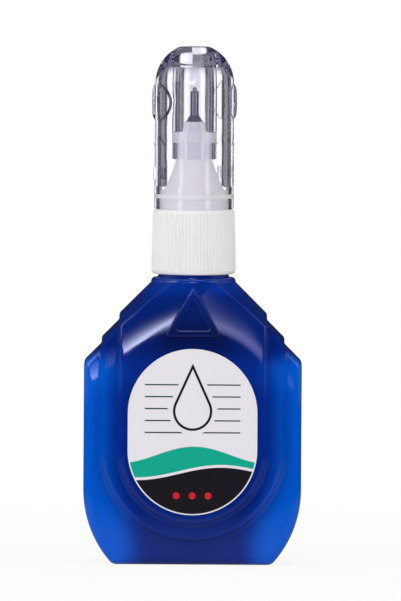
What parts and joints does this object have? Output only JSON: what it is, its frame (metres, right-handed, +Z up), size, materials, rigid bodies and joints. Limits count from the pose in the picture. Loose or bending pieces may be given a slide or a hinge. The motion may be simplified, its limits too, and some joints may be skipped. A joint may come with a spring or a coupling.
{
  "type": "correction pen",
  "caption": "Flat squeeze-bottle correction pen with a stepped bottle, oval label, ribbed nozzle, metal tip with a sprung needle valve, loose mixing ball and clear push-on cap.",
  "frame": {"origin": "middle of the flat base that the pen stands on", "axes": "+Z up along the pen's axis to the cap's dome, -Y out of the label, +X to the right seen from the label's side"},
  "size_m": [0.0438, 0.0193, 0.104],
  "materials": {
    "blue_bottle": "glossy translucent blue plastic",
    "label_film": "satin printed film",
    "white_plastic": "satin white plastic",
    "tip_metal": "turned, plated",
    "needle_steel": "drawn, bright",
    "valve_plastic": "natural plastic",
    "clear_cap": "clear polished plastic",
    "white_fluid": "opaque white liquid"
  },
  "bodies": {
    "bottle": {"bottle": "blue_bottle", "front_label": "label_film", "nozzle": "white_plastic", "metal_tip": "tip_metal", "spring_retainer": "valve_plastic", "valve_spring": "needle_steel", "correction_fluid": "white_fluid"},
    "cap": {"cap": "clear_cap"},
    "needle": {"valve_needle": "needle_steel", "needle_holder": "valve_plastic"},
    "ball": {"mixing_ball": "needle_steel"}
  },
  "joints": [
    {"name": "cap_lift", "type": "slide", "parent": "bottle", "child": "cap", "axis": [0, 0, 1], "range_m": [0, 0.03]},
    {"name": "needle_press", "type": "slide", "parent": "bottle", "child": "needle", "axis": [0, 0, -1], "range_m": [0, 0.0008], "stiffness_N_per_m": 300, "springref_m": -0.002, "deforming": ["valve_spring"]},
    {"name": "ball_shake", "type": "slide", "parent": "bottle", "child": "ball", "axis": [0, 0, 1], "range_m": [0, 0.0625]}
  ]
}
